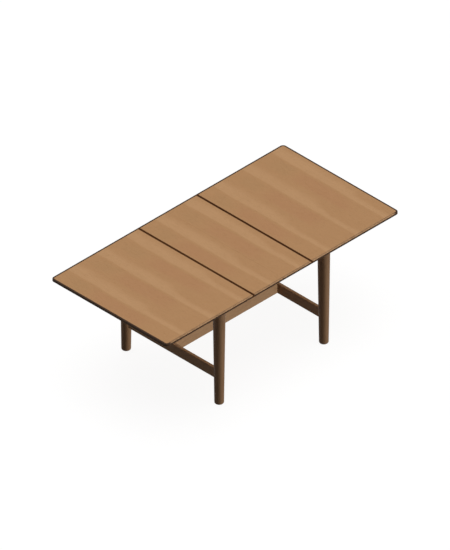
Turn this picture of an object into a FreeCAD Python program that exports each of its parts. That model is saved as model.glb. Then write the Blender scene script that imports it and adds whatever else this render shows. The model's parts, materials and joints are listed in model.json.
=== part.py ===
"""Butterfly leaf table: two sliding end tops and a folding two-part leaf on four turned legs.

Millimetres. X runs along the table, Y across it with the front at -Y, and Z is up from the floor.
The document stands as the table is used: end tops drawn apart, leaf flat between them.
"""
import math
import os
import re

import FreeCAD
import Part
import Sketcher

os.makedirs("parts", exist_ok=True)
doc = FreeCAD.newDocument("butterfly_leaf_table")
sheet = doc.addObject("Spreadsheet::Sheet", "Sizes")

# Driving dimensions: alias, millimetres, meaning
SIZES = [
    ("table_length", 2000, "overall length with the leaf in place"),
    ("table_width", 1000, "overall width"),
    ("table_height", 755, "floor to top surface"),
    ("top_thickness", 16, "thickness of end tops and leaf"),
    ("leaf_width", 500, "both leaf halves together, along the table"),
    ("corner_radius", 25, "outer corners of the end tops in plan"),
    ("rim_width", 12, "solid edge strip round the outside of the table"),
    ("lipping_width", 8, "solid edge strip along a seam"),
    ("seam_gap", 1, "gap between an end top and the leaf"),
    ("fold_gap", 0.4, "gap between the two leaf halves"),
    ("bevel_run", 13.5, "how far the left seam leans over the board thickness"),
    ("leg_length_pitch", 900, "leg axes along the table"),
    ("leg_inset", 100, "leg axis from the long edge of the table"),
    ("leg_top_diameter", 80, "leg diameter under the top"),
    ("leg_foot_diameter", 60, "leg diameter at the floor"),
    ("foot_rounding", 10, "rounded lower edge of a leg"),
    ("stretcher_height", 70, "depth of the low stretchers"),
    ("stretcher_thickness", 22, "thickness of the low stretchers"),
    ("stretcher_clearance", 180, "floor to the underside of the stretchers"),
    ("cross_rail_height", 60, "depth of the upper rails"),
    ("cross_rail_thickness", 50, "thickness of the upper rails"),
    ("housing_reach", 22, "leg axis to the end of a housed rail"),
    ("housing_clearance", 0.1, "room around a housed end"),
    ("dado_depth", 10, "centre stretcher let into an end stretcher"),
    ("dowel_diameter", 10, "joint dowels"),
    ("dowel_length", 40, "joint dowels"),
    ("dowel_pitch", 30, "between the two dowels of a joint"),
    ("dowel_anchor", 10, "centre stretcher dowel inside the end stretcher"),
    ("dowel_clearance", 0.05, "radial room around a dowel or stem"),
    ("leg_glide_height", 2, "nylon glide between leg and top"),
    ("leg_glide_diameter", 30, "nylon glide between leg and top"),
    ("foot_glide_height", 3, "nylon glide under a leg"),
    ("foot_glide_diameter", 38, "nylon glide under a leg"),
    ("glide_stem_diameter", 8, "stem of a glide"),
    ("glide_stem_length", 18, "stem of a glide"),
    ("guide_inset", 200, "guide centre line from the long edge of the table"),
    ("guide_width", 64, "fixed guide rail"),
    ("guide_height", 40, "fixed guide rail"),
    ("guide_setback", 55, "inner end of a guide from the seam"),
    ("guide_overrun", 5, "guide beyond the runner of a closed table"),
    ("groove_mouth", 24, "dovetail groove at the top of a guide"),
    ("groove_floor", 36, "dovetail groove at its floor"),
    ("groove_depth", 22, "dovetail groove"),
    ("slide_clearance", 0.5, "room around a runner in its groove"),
    ("guide_screw_diameter", 8, "screw through a cross rail into a guide"),
    ("guide_screw_head", 14, "head of that screw"),
    ("guide_screw_head_height", 5, "head of that screw"),
    ("guide_screw_bite", 12, "thread inside the guide"),
    ("guide_screw_pitch", 26, "between the two screws of a guide"),
    ("stow_clearance", 10, "stowed leaf to the inner end of a runner"),
    ("runner_margin", 45, "outer end of a runner from the end of the table"),
    ("runner_screw_diameter", 5, "screw holding a runner to its top"),
    ("runner_screw_head", 10, "head of that screw"),
    ("runner_screw_head_height", 3, "head of that screw"),
    ("runner_screw_recess", 6, "head pocket under a runner"),
    ("runner_screw_bite", 10, "thread inside the top"),
    ("runner_screw_margin", 22, "first screw from the end of a runner"),
    ("runner_screw_pitch", 34, "first to second screw of a runner"),
    ("screw_clearance", 0.05, "radial room around a screw shank"),
    ("head_clearance", 0.3, "radial room around a screw head"),
    ("stop_setback", 85, "stop pin from the inner end of a runner"),
    ("stop_diameter", 8, "stop pin in the groove of a guide"),
    ("stop_rise", 9, "stop pin above the groove floor"),
    ("stop_anchor", 12, "stop pin inside the guide"),
    ("stop_clearance", 0.4, "room between stop pin and runner slot"),
    ("hinge_length", 100, "seam hinge along its pin"),
    ("hinge_inset", 120, "outer hinges from the long edge of the table"),
    ("hinge_reach", 40, "seam hinge pin to the outer edge of a plate"),
    ("hinge_plate_thickness", 2, "seam hinge plate"),
    ("hinge_drop", 4.5, "seam hinge pin below the boards"),
    ("knuckle_diameter", 8, "seam hinge knuckle"),
    ("knuckle_gap", 0.3, "between two knuckles"),
    ("knuckle_room", 0.6, "plate notch beyond the other knuckle"),
    ("hinge_pin_diameter", 4, "seam hinge pin"),
    ("hinge_clearance", 0.05, "radial room around the hinge pin"),
    ("hinge_screw_diameter", 3.5, "seam hinge screw"),
    ("hinge_screw_head", 7, "seam hinge screw head"),
    ("hinge_screw_head_height", 1.5, "seam hinge screw head"),
    ("hinge_screw_bite", 11, "thread inside the board"),
    ("hinge_screw_line", 28, "hinge pin to the line of screws"),
    ("hinge_screw_pitch", 36, "between hinge screws"),
    ("barrel_diameter", 10, "concealed fold hinge barrel"),
    ("barrel_length", 24, "concealed fold hinge barrel"),
    ("bearer_setback", 35, "bearer pivot from the seam"),
    ("bearer_inset", 30, "tip of a parked bearer from the long edge of the table"),
    ("bearer_width", 24, "swing-out leaf bearer"),
    ("bearer_thickness", 7, "swing-out leaf bearer"),
    ("bearer_reach", 320, "bearer pivot to its tip"),
    ("bearer_gap", 0.4, "board to bearer"),
    ("pivot_diameter", 8, "bearer pivot screw"),
    ("pivot_clearance", 0.05, "radial room around the pivot screw"),
    ("pivot_head", 16, "pivot screw head"),
    ("pivot_head_height", 3, "pivot screw head"),
    ("pivot_head_gap", 0.3, "bearer to pivot screw head"),
    ("pivot_bite", 10, "pivot screw inside the board"),
]
for row, (alias, number, meaning) in enumerate(SIZES, start=1):
    sheet.set(f"A{row}", meaning)
    sheet.set(f"B{row}", str(number))
    sheet.setAlias(f"B{row}", alias)
doc.recompute()

# Places that several pieces share, as formulas on the sizes
HALF_LENGTH = "table_length / 2"
HALF_WIDTH = "table_width / 2"
CORNER_START = f"{HALF_LENGTH} - corner_radius"
SEAM = "leaf_width / 2"
TRAVEL = "leaf_width / 2"
UNDERSIDE = "table_height - top_thickness"
LEG_X = "leg_length_pitch / 2"
LEG_Y = "(table_width / 2 - leg_inset)"
LEG_TOP = f"{UNDERSIDE} - leg_glide_height"
STRETCHER_TOP = "stretcher_clearance + stretcher_height"
STRETCHER_MIDDLE = "stretcher_clearance + stretcher_height / 2"
RAIL_END = f"{LEG_Y} - housing_reach"
CENTRE_END = f"{LEG_X} - stretcher_thickness / 2 + dado_depth"
GUIDE_Y = "(table_width / 2 - guide_inset)"
GUIDE_LOW = f"{LEG_TOP} - guide_height"
GROOVE_LOW = f"{LEG_TOP} - groove_depth"
RAIL_LOW = f"{GUIDE_LOW} - cross_rail_height"
RAIL_MIDDLE = f"{RAIL_LOW} + cross_rail_height / 2"
RUNNER_LOW = f"{GROOVE_LOW} + slide_clearance"
RUNNER_INNER = f"{SEAM} + {TRAVEL} + stow_clearance"
RUNNER_OUTER = f"{HALF_LENGTH} - runner_margin"
GUIDE_INNER = f"{SEAM} + guide_setback"
GUIDE_OUTER = f"{RUNNER_OUTER} - {TRAVEL} + guide_overrun"
STOP_X = f"{RUNNER_INNER} + stop_setback"
GROOVE_SLOPE = "(groove_floor - groove_mouth) / 2 / groove_depth"
TOP_EDGE = f"{SEAM} + seam_gap / 2"
LEAF_EDGE = f"{SEAM} - seam_gap / 2"
HINGE_Y = "(table_width / 2 - hinge_inset)"
HINGE_PLACES = [f"-{HINGE_Y}", "0", HINGE_Y]
PIN_Z = f"{UNDERSIDE} - hinge_drop"
BEARER_X = f"-({SEAM} + bearer_setback)"
BEARER_Y = "(table_width / 2 - bearer_inset - bearer_reach)"
BEARER_HIGH = f"{UNDERSIDE} - bearer_gap"
BEARER_LOW = f"{BEARER_HIGH} - bearer_thickness"

KNUCKLES = 5
SIDES = {"left": -1, "right": 1}
FACES = {"front": -1, "back": 1}
TURNS = {
    "x": FreeCAD.Rotation(FreeCAD.Vector(0, 1, 0), 90),
    "y": FreeCAD.Rotation(FreeCAD.Vector(1, 0, 0), -90),
    "z": FreeCAD.Rotation(),
}
pieces = []


def formula(text):
    """Point every size name in a formula at the sheet."""
    return re.sub(r"[a-z][a-z_]+", r"Sizes.\g<0>", str(text))


def bind(item, **formulas):
    """Bind properties of an object to formulas."""
    for name, text in formulas.items():
        item.setExpression(name, formula(text))


def place(item, x, y, z):
    """Bind the position of an object to formulas."""
    for axis, text in zip("xyz", (x, y, z)):
        item.setExpression(f"Placement.Base.{axis}", formula(text))


def mirrored(sign, low, high):
    """Return a span, mirrored through zero where the sign is negative."""
    if sign > 0:
        return (low, high)
    return (f"-({high})", f"-({low})")


def around(centre, width):
    """Return the span of a width that is centred on a formula."""
    return (f"({centre}) - ({width}) / 2", f"({centre}) + ({width}) / 2")


def block(name, x, y, z):
    """Make a box from three spans."""
    item = doc.addObject("Part::Box", name)
    bind(item, Length=f"({x[1]}) - ({x[0]})")
    bind(item, Width=f"({y[1]}) - ({y[0]})")
    bind(item, Height=f"({z[1]}) - ({z[0]})")
    place(item, x[0], y[0], z[0])
    return item


def slab(name, lower_x, upper_x, y, z):
    """Make a board whose ends may lean: one X span at its underside and one at its top."""
    item = doc.addObject("Part::Wedge", name)
    item.Placement = FreeCAD.Placement(FreeCAD.Vector(), FreeCAD.Rotation(FreeCAD.Vector(1, 0, 0), 90))
    bind(item, Xmin=lower_x[0], Xmax=lower_x[1], X2min=upper_x[0], X2max=upper_x[1])
    bind(item, Ymin=z[0], Ymax=z[1])
    bind(item, Zmin=f"-({y[1]})", Z2min=f"-({y[1]})", Zmax=f"-({y[0]})", Z2max=f"-({y[0]})")
    return item


def rod(name, axis, diameter, centre, span):
    """Make a cylinder along an axis; centre holds the other two coordinates in order."""
    item = doc.addObject("Part::Cylinder", name)
    item.Placement = FreeCAD.Placement(FreeCAD.Vector(), TURNS[axis])
    bind(item, Radius=f"({diameter}) / 2", Height=f"({span[1]}) - ({span[0]})")
    start = list(centre)
    start.insert("xyz".index(axis), span[0])
    place(item, *start)
    return item


def fuse(name, items):
    """Join overlapping shapes into one solid."""
    item = doc.addObject("Part::MultiFuse", name)
    item.Shapes = items
    return item


def group(name, items):
    """Keep separate solids together as one object."""
    item = doc.addObject("Part::Compound", name)
    item.Links = items
    return item


def cut(name, body, tools):
    """Take separate tool shapes away from a body."""
    item = doc.addObject("Part::Cut", name)
    item.Base = body
    item.Tool = group(f"{name}_tools", tools)
    return item


def keep(item):
    """Mark an object as a finished sub-part."""
    pieces.append(item)
    return item


def outline(body, role, points):
    """Draw a closed polygon in a body on one of its origin planes, each corner bound to formulas."""
    sketch = body.newObject("Sketcher::SketchObject", f"{body.Name}_outline")
    plane = [feature for feature in body.Origin.OriginFeatures if feature.Role == role][0]
    sketch.AttachmentSupport = [(plane, "")]
    sketch.MapMode = "FlatFace"
    count = len(points)
    ring = []
    for corner in range(count):
        angle = 2 * math.pi * corner / count
        ring.append(FreeCAD.Vector(math.cos(angle), math.sin(angle), 0))
    for corner in range(count):
        sketch.addGeometry(Part.LineSegment(ring[corner], ring[(corner + 1) % count]))
    for corner, (across, up) in enumerate(points):
        sketch.addConstraint(Sketcher.Constraint("Coincident", (corner - 1) % count, 2, corner, 1))
        for kind, text, now in (("DistanceX", across, ring[corner].x), ("DistanceY", up, ring[corner].y)):
            index = sketch.addConstraint(Sketcher.Constraint(kind, -1, 1, corner, 1, now))
            sketch.setExpression(f"Constraints[{index}]", formula(text))
    return sketch


def bar(name, points, length):
    """Make a body that pads a cross-section in Y and Z along X."""
    body = doc.addObject("PartDesign::Body", name)
    pad = body.newObject("PartDesign::Pad", f"{name}_pad")
    pad.Profile = outline(body, "YZ_Plane", points)
    bind(pad, Length=length)
    body.Tip = pad
    return body


def screw(name, axis_x, axis_y, head_span, tip, head, shank):
    """Make an upright screw, head down, from its head span to its tip."""
    cap = rod(f"{name}_head", "z", head, (axis_x, axis_y), head_span)
    inside = f"(({head_span[0]}) + ({head_span[1]})) / 2"
    stem = rod(f"{name}_shank", "z", shank, (axis_x, axis_y), (inside, tip))
    return fuse(name, [cap, stem])


# Base


def leg(side, face):
    """Turned, tapered leg with housings for the stretcher and the upper rail."""
    name = f"leg_{face}_{side}"
    x = f"{SIDES[side]} * {LEG_X}"
    y = f"{FACES[face]} * {LEG_Y}"
    body = doc.addObject("PartDesign::Body", f"{name}_turning")
    turning = body.newObject("PartDesign::Revolution", f"{name}_revolution")
    profile = [
        ("0", "foot_glide_height"),
        ("leg_foot_diameter / 2", "foot_glide_height"),
        ("leg_top_diameter / 2", LEG_TOP),
        ("0", LEG_TOP),
    ]
    turning.Profile = outline(body, "XZ_Plane", profile)
    turning.ReferenceAxis = (turning.Profile[0], ["V_Axis"])
    turning.Angle = 360
    doc.recompute()
    rims = [edge for edge in turning.Shape.Edges if edge.Closed]
    lowest = min(rims, key=lambda edge: edge.CenterOfMass.z)
    number = [edge.isSame(lowest) for edge in turning.Shape.Edges].index(True) + 1
    rounding = body.newObject("PartDesign::Fillet", f"{name}_rounding")
    rounding.Base = (turning, [f"Edge{number}"])
    bind(rounding, Radius="foot_rounding")
    body.Tip = rounding
    place(body, x, y, "0")
    room = "2 * housing_clearance"
    # A housing runs from just past the rail's end to clear of the leg, towards the middle of the table
    reach = mirrored(FACES[face], f"{LEG_Y} - leg_top_diameter", f"{RAIL_END} + housing_clearance")
    low = block(
        f"{name}_stretcher_housing",
        around(x, f"stretcher_thickness + {room}"),
        reach,
        ("stretcher_clearance - housing_clearance", f"{STRETCHER_TOP} + housing_clearance"),
    )
    high = block(
        f"{name}_rail_housing",
        around(x, f"cross_rail_thickness + {room}"),
        reach,
        (f"{RAIL_LOW} - housing_clearance", f"{GUIDE_LOW} + housing_clearance"),
    )
    tools = [low, high]
    span = mirrored(FACES[face], f"{RAIL_END} - 1", f"{RAIL_END} + dowel_length / 2 + housing_clearance")
    bore = "dowel_diameter + 2 * dowel_clearance"
    for level in dowel_levels(STRETCHER_MIDDLE) + dowel_levels(RAIL_MIDDLE):
        tools.append(rod(f"{name}_dowel_bore", "y", bore, (x, level), span))
    stem = "glide_stem_diameter + 2 * dowel_clearance"
    deep = "glide_stem_length + housing_clearance"
    tools.append(rod(f"{name}_foot_bore", "z", stem, (x, y), ("0", f"foot_glide_height + {deep}")))
    tools.append(rod(f"{name}_top_bore", "z", stem, (x, y), (f"{LEG_TOP} - ({deep})", UNDERSIDE)))
    keep(cut(name, body, tools))


def dowel_levels(middle):
    """Heights of the two dowels of a joint."""
    return [f"{middle} - dowel_pitch / 2", f"{middle} + dowel_pitch / 2"]


def end_stretcher(side):
    """Low rail between the two legs of one end, with a dado for the centre stretcher."""
    name = f"end_stretcher_{side}"
    sign = SIDES[side]
    x = f"{sign} * {LEG_X}"
    height = ("stretcher_clearance", STRETCHER_TOP)
    board = block(f"{name}_board", around(x, "stretcher_thickness"), (f"-({RAIL_END})", RAIL_END), height)
    room = "stretcher_thickness + 2 * housing_clearance"
    dado_x = mirrored(sign, f"{LEG_X} - stretcher_thickness", f"{CENTRE_END} + housing_clearance")
    past = ("stretcher_clearance - 1", f"{STRETCHER_TOP} + 1")
    tools = [block(f"{name}_dado", dado_x, around("0", room), past)]
    bore = "dowel_diameter + 2 * dowel_clearance"
    for level in dowel_levels(STRETCHER_MIDDLE):
        for face in FACES.values():
            span = mirrored(face, f"{RAIL_END} - dowel_length / 2 - housing_clearance", f"{RAIL_END} + 1")
            tools.append(rod(f"{name}_end_bore", "y", bore, (x, level), span))
        span = mirrored(sign, f"{CENTRE_END} - 1", f"{CENTRE_END} + dowel_anchor + housing_clearance")
        tools.append(rod(f"{name}_middle_bore", "x", bore, ("0", level), span))
    keep(cut(name, board, tools))


def centre_stretcher():
    """Low rail along the table that ties the two ends together."""
    name = "centre_stretcher"
    height = ("stretcher_clearance", STRETCHER_TOP)
    length = (f"-({CENTRE_END})", CENTRE_END)
    board = block(f"{name}_board", length, around("0", "stretcher_thickness"), height)
    tools = []
    bore = "dowel_diameter + 2 * dowel_clearance"
    inner = f"{CENTRE_END} + dowel_anchor - dowel_length - housing_clearance"
    for level in dowel_levels(STRETCHER_MIDDLE):
        for sign in SIDES.values():
            span = mirrored(sign, inner, f"{CENTRE_END} + 1")
            tools.append(rod(f"{name}_bore", "x", bore, ("0", level), span))
    keep(cut(name, board, tools))


def cross_rail(side):
    """Upper rail between two legs that carries the guides."""
    name = f"cross_rail_{side}"
    x = f"{SIDES[side]} * {LEG_X}"
    height = (RAIL_LOW, GUIDE_LOW)
    board = block(f"{name}_board", around(x, "cross_rail_thickness"), (f"-({RAIL_END})", RAIL_END), height)
    tools = []
    bore = "dowel_diameter + 2 * dowel_clearance"
    for face in FACES.values():
        span = mirrored(face, f"{RAIL_END} - dowel_length / 2 - housing_clearance", f"{RAIL_END} + 1")
        for level in dowel_levels(RAIL_MIDDLE):
            tools.append(rod(f"{name}_dowel_bore", "y", bore, (x, level), span))
        for screw_x in guide_screw_places(x):
            hole = "guide_screw_diameter + 2 * screw_clearance"
            past = (f"{RAIL_LOW} - 1", f"{GUIDE_LOW} + 1")
            tools.append(rod(f"{name}_screw_hole", "z", hole, (screw_x, f"{face} * {GUIDE_Y}"), past))
    keep(cut(name, board, tools))


def guide_screw_places(x):
    """X of the two screws that hold a guide on its cross rail."""
    return [f"{x} - guide_screw_pitch / 2", f"{x} + guide_screw_pitch / 2"]


def guide_rail(side, face):
    """Fixed guide with a dovetail groove along its top."""
    name = f"guide_rail_{face}_{side}"
    sign = SIDES[side]
    y = f"{FACES[face]} * {GUIDE_Y}"
    profile = [
        ("-guide_width / 2", "0"),
        ("guide_width / 2", "0"),
        ("guide_width / 2", "guide_height"),
        ("groove_mouth / 2", "guide_height"),
        ("groove_floor / 2", "guide_height - groove_depth"),
        ("-groove_floor / 2", "guide_height - groove_depth"),
        ("-groove_mouth / 2", "guide_height"),
        ("-guide_width / 2", "guide_height"),
    ]
    body = bar(f"{name}_bar", profile, f"({GUIDE_OUTER}) - ({GUIDE_INNER})")
    place(body, mirrored(sign, GUIDE_INNER, GUIDE_OUTER)[0], y, GUIDE_LOW)
    hole = "guide_screw_diameter + 2 * screw_clearance"
    tools = []
    for screw_x in guide_screw_places(f"{sign} * {LEG_X}"):
        span = (f"{GUIDE_LOW} - 1", f"{GUIDE_LOW} + guide_screw_bite + housing_clearance")
        tools.append(rod(f"{name}_screw_hole", "z", hole, (screw_x, y), span))
    stop_hole = "stop_diameter + 2 * screw_clearance"
    span = (f"{GROOVE_LOW} - stop_anchor - housing_clearance", f"{GROOVE_LOW} + 1")
    tools.append(rod(f"{name}_stop_hole", "z", stop_hole, (f"{sign} * ({STOP_X})", y), span))
    keep(cut(name, body, tools))


def joint_dowels():
    """Dowels of the low and of the upper joints, each a group of loose pins."""
    low = []
    high = []
    span = (f"{RAIL_END} - dowel_length / 2", f"{RAIL_END} + dowel_length / 2")
    middle_span = (f"{CENTRE_END} + dowel_anchor - dowel_length", f"{CENTRE_END} + dowel_anchor")
    for sign in SIDES.values():
        x = f"{sign} * {LEG_X}"
        for face in FACES.values():
            for level in dowel_levels(STRETCHER_MIDDLE):
                low.append(rod("stretcher_dowel", "y", "dowel_diameter", (x, level), mirrored(face, *span)))
            for level in dowel_levels(RAIL_MIDDLE):
                high.append(rod("cross_rail_dowel", "y", "dowel_diameter", (x, level), mirrored(face, *span)))
        for level in dowel_levels(STRETCHER_MIDDLE):
            pin_span = mirrored(sign, *middle_span)
            low.append(rod("centre_dowel", "x", "dowel_diameter", ("0", level), pin_span))
    keep(group("stretcher_dowels", low))
    keep(group("cross_rail_dowels", high))


def glides():
    """Nylon discs on stems, under the feet and on top of the legs."""
    feet = []
    tops = []
    for sign in SIDES.values():
        for face in FACES.values():
            axis = (f"{sign} * {LEG_X}", f"{face} * {LEG_Y}")
            disc = rod("foot_disc", "z", "foot_glide_diameter", axis, ("0", "foot_glide_height"))
            span = ("foot_glide_height / 2", "foot_glide_height + glide_stem_length")
            stem = rod("foot_stem", "z", "glide_stem_diameter", axis, span)
            feet.append(fuse("foot_glide", [disc, stem]))
            disc = rod("leg_disc", "z", "leg_glide_diameter", axis, (LEG_TOP, UNDERSIDE))
            span = (f"{LEG_TOP} - glide_stem_length", f"{LEG_TOP} + leg_glide_height / 2")
            stem = rod("leg_stem", "z", "glide_stem_diameter", axis, span)
            tops.append(fuse("leg_top_glide", [disc, stem]))
    keep(group("foot_glides", feet))
    keep(group("leg_top_glides", tops))


def guide_fixings():
    """Screws that hold the guides, and the stop pins in their grooves."""
    screws = []
    stops = []
    widths = ("guide_screw_head", "guide_screw_diameter")
    for sign in SIDES.values():
        for face in FACES.values():
            y = f"{face} * {GUIDE_Y}"
            for x in guide_screw_places(f"{sign} * {LEG_X}"):
                head = (f"{RAIL_LOW} - guide_screw_head_height", RAIL_LOW)
                tip = f"{GUIDE_LOW} + guide_screw_bite"
                screws.append(screw("guide_screw", x, y, head, tip, *widths))
            span = (f"{GROOVE_LOW} - stop_anchor", f"{GROOVE_LOW} + stop_rise")
            stops.append(rod("stop_pin", "z", "stop_diameter", (f"{sign} * ({STOP_X})", y), span))
    keep(group("guide_screws", screws))
    keep(group("travel_stops", stops))


# End tops


def runner_screw_places(sign):
    """X of the four screws of a runner."""
    first = f"{RUNNER_INNER} + runner_screw_margin"
    last = f"{RUNNER_OUTER} - runner_screw_margin"
    inner = [first, f"{first} + runner_screw_pitch"]
    outer = [f"{last} - runner_screw_pitch", last]
    return [f"{sign} * ({place_x})" for place_x in inner + outer]


def runner(side, face):
    """Dovetail runner under an end top, slotted for the stop pin."""
    name = f"runner_{face}_{side}"
    sign = SIDES[side]
    y = f"{FACES[face]} * {GUIDE_Y}"
    tall = f"({UNDERSIDE}) - ({RUNNER_LOW})"
    half_mouth = "groove_mouth / 2 - slide_clearance"
    wide = f"{half_mouth} + (groove_depth - slide_clearance) * {GROOVE_SLOPE}"
    narrow = f"{half_mouth} - leg_glide_height * {GROOVE_SLOPE}"
    profile = [
        (f"-({wide})", "0"),
        (wide, "0"),
        (narrow, tall),
        (f"-({narrow})", tall),
    ]
    body = bar(f"{name}_bar", profile, f"({RUNNER_OUTER}) - ({RUNNER_INNER})")
    place(body, mirrored(sign, RUNNER_INNER, RUNNER_OUTER)[0], y, RUNNER_LOW)
    slot_wide = "stop_diameter + 2 * stop_clearance"
    slot_high = f"{GROOVE_LOW} + stop_rise + 2 * stop_clearance"
    slot_x = mirrored(
        sign,
        f"{STOP_X} - stop_diameter / 2 - stop_clearance",
        f"{STOP_X} + {TRAVEL} + stop_diameter / 2 + stop_clearance",
    )
    tools = [block(f"{name}_slot", slot_x, around(y, slot_wide), (f"{RUNNER_LOW} - 1", slot_high))]
    for x in runner_screw_places(sign):
        pocket = "runner_screw_head + 2 * head_clearance"
        span = (f"{RUNNER_LOW} - 1", f"{RUNNER_LOW} + runner_screw_recess")
        wide_hole = rod(f"{name}_head_hole", "z", pocket, (x, y), span)
        hole = "runner_screw_diameter + 2 * screw_clearance"
        long_hole = rod(f"{name}_shank_hole", "z", hole, (x, y), (f"{RUNNER_LOW} - 1", f"{UNDERSIDE} + 1"))
        tools.append(fuse(f"{name}_screw_hole", [wide_hole, long_hole]))
    keep(cut(name, body, tools))


def runner_screws(side):
    """Screws that hold the two runners of one end top."""
    screws = []
    low = f"{RUNNER_LOW} + runner_screw_recess"
    head = (f"{low} - runner_screw_head_height", low)
    widths = ("runner_screw_head", "runner_screw_diameter")
    for face in FACES.values():
        for x in runner_screw_places(SIDES[side]):
            tip = f"{UNDERSIDE} + runner_screw_bite"
            y = f"{face} * {GUIDE_Y}"
            screws.append(screw("runner_screw", x, y, head, tip, *widths))
    keep(group(f"runner_screws_{side}", screws))


def seam_spans(side, outer, inner):
    """Underside and top X spans of an end-top board; the left seam leans."""
    if side == "right":
        return (inner, outer), (inner, outer)
    return (f"-({outer})", f"-({inner}) - bevel_run"), (f"-({outer})", f"-({inner})")


def board_holes(name, places, shank, bite):
    """Blind holes up into a board for screws at the given places."""
    holes = []
    for x, y in places:
        span = (f"{UNDERSIDE} - 1", f"{UNDERSIDE} + {bite} + housing_clearance")
        holes.append(rod(f"{name}_hole", "z", f"{shank} + 2 * screw_clearance", (x, y), span))
    return holes


def end_top(side):
    """Board of an end top with its four edge strips."""
    sign = SIDES[side]
    height = (UNDERSIDE, "table_height")
    field = f"{HALF_WIDTH} - rim_width"
    lower, upper = seam_spans(side, f"{HALF_LENGTH} - rim_width", f"{TOP_EDGE} + lipping_width")
    name = f"end_top_{side}"
    board = slab(f"{name}_board", lower, upper, (f"-({field})", field), height)
    places = [(x, f"{face} * {GUIDE_Y}") for face in FACES.values() for x in runner_screw_places(sign)]
    tools = board_holes(name, places, "runner_screw_diameter", "runner_screw_bite")
    if side == "right":
        places = hinge_screw_places(1)
        tools += board_holes(f"{name}_hinge", places, "hinge_screw_diameter", "hinge_screw_bite")
    else:
        pivots = [(BEARER_X, f"{face} * {BEARER_Y}") for face in FACES.values()]
        tools += board_holes(f"{name}_pivot", pivots, "pivot_diameter", "pivot_bite")
    keep(cut(name, board, tools + corner_wastes(name, sign, "rim_width")))
    lower, upper = seam_spans(side, CORNER_START, f"{TOP_EDGE} + lipping_width")
    for face, way in FACES.items():
        keep(slab(f"lipping_{face}_{side}", lower, upper, mirrored(way, field, HALF_WIDTH), height))
    end_strip(side)
    lower, upper = seam_spans(side, f"{TOP_EDGE} + lipping_width", TOP_EDGE)
    if side == "left":
        lower = (f"-({TOP_EDGE} + lipping_width) - bevel_run", f"-({TOP_EDGE}) - bevel_run")
    keep(slab(f"lipping_seam_{side}", lower, upper, (f"-({HALF_WIDTH})", HALF_WIDTH), height))


def end_strip(side):
    """Edge strip of a table end, bent round both corners."""
    sign = SIDES[side]
    name = f"lipping_end_{side}"
    across = (f"-({HALF_WIDTH})", HALF_WIDTH)
    along = mirrored(sign, CORNER_START, HALF_LENGTH)
    bent = block(f"{name}_blank", along, across, (UNDERSIDE, "table_height"))
    bent = cut(f"{name}_bent", bent, corner_wastes(f"{name}_outer", sign, "0"))
    core_x = mirrored(sign, f"{CORNER_START} - 1", f"{HALF_LENGTH} - rim_width")
    core_y = (f"-({HALF_WIDTH} - rim_width)", f"{HALF_WIDTH} - rim_width")
    core = block(f"{name}_core", core_x, core_y, (f"{UNDERSIDE} - 1", "table_height + 1"))
    core = cut(f"{name}_hollow", core, corner_wastes(f"{name}_inner", sign, "rim_width"))
    keep(cut(name, bent, [core]))


def corner_wastes(name, sign, inset):
    """What rounding takes off the two square corners of an end that stands in from the edge of the table."""
    wastes = []
    for face, way in FACES.items():
        span_x = mirrored(sign, CORNER_START, f"{HALF_LENGTH} - {inset} + 1")
        span_y = mirrored(way, f"{HALF_WIDTH} - corner_radius", f"{HALF_WIDTH} - {inset} + 1")
        square = block(f"{name}_{face}_corner", span_x, span_y, (f"{UNDERSIDE} - 2", "table_height + 2"))
        centre = (f"{sign} * ({CORNER_START})", f"{way} * ({HALF_WIDTH} - corner_radius)")
        past = (f"{UNDERSIDE} - 3", "table_height + 3")
        turn = rod(f"{name}_{face}_round", "z", f"2 * (corner_radius - {inset})", centre, past)
        wastes.append(cut(f"{name}_{face}_waste", square, [turn]))
    return wastes


# Leaf


def leaf_half(side):
    """One half of the leaf: board, three edge strips and the barrels of the fold."""
    sign = SIDES[side]
    height = (UNDERSIDE, "table_height")
    field = f"{HALF_WIDTH} - rim_width"
    fold = "fold_gap / 2"

    def spans(edge, inner):
        if side == "right":
            return (inner, edge), (inner, edge)
        return (f"-({edge}) - bevel_run", f"-({inner})"), (f"-({edge})", f"-({inner})")

    name = f"leaf_half_{side}"
    lower, upper = spans(f"{LEAF_EDGE} - lipping_width", fold)
    board = slab(f"{name}_board", lower, upper, (f"-({field})", field), height)
    tools = []
    barrels = []
    middle = f"{UNDERSIDE} + top_thickness / 2"
    for y in HINGE_PLACES:
        bore = "barrel_diameter + 2 * dowel_clearance"
        span = mirrored(sign, "0", f"{fold} + barrel_length + housing_clearance")
        tools.append(rod(f"{name}_barrel_bore", "x", bore, (y, middle), span))
        span = mirrored(sign, fold, f"{fold} + barrel_length")
        barrels.append(rod("fold_barrel", "x", "barrel_diameter", (y, middle), span))
    if side == "right":
        places = hinge_screw_places(-1)
        tools += board_holes(f"{name}_hinge", places, "hinge_screw_diameter", "hinge_screw_bite")
    keep(cut(name, board, tools))
    keep(group(f"fold_barrels_{side}", barrels))
    lower, upper = spans(f"{LEAF_EDGE} - lipping_width", fold)
    for face, way in FACES.items():
        keep(slab(f"leaf_lipping_{face}_{side}", lower, upper, mirrored(way, field, HALF_WIDTH), height))
    lower, upper = spans(LEAF_EDGE, f"{LEAF_EDGE} - lipping_width")
    if side == "left":
        lower = (lower[0], f"{lower[1]} - bevel_run")
    keep(slab(f"leaf_lipping_seam_{side}", lower, upper, (f"-({HALF_WIDTH})", HALF_WIDTH), height))


# Seam hinges


def hinge_screw_places(way):
    """X and Y of the hinge screws on the top (way 1) or on the leaf (way -1)."""
    x = f"{SEAM} + {way} * hinge_screw_line"
    return [(x, f"{y} + {step} * hinge_screw_pitch") for y in HINGE_PLACES for step in (-1, 0, 1)]


def beside_seam(way, low, high):
    """X span that lies so far from the right seam, on the top (way 1) or on the leaf (way -1)."""
    low, high = mirrored(way, low, high)
    return (f"{SEAM} + {low}", f"{SEAM} + {high}")


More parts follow.
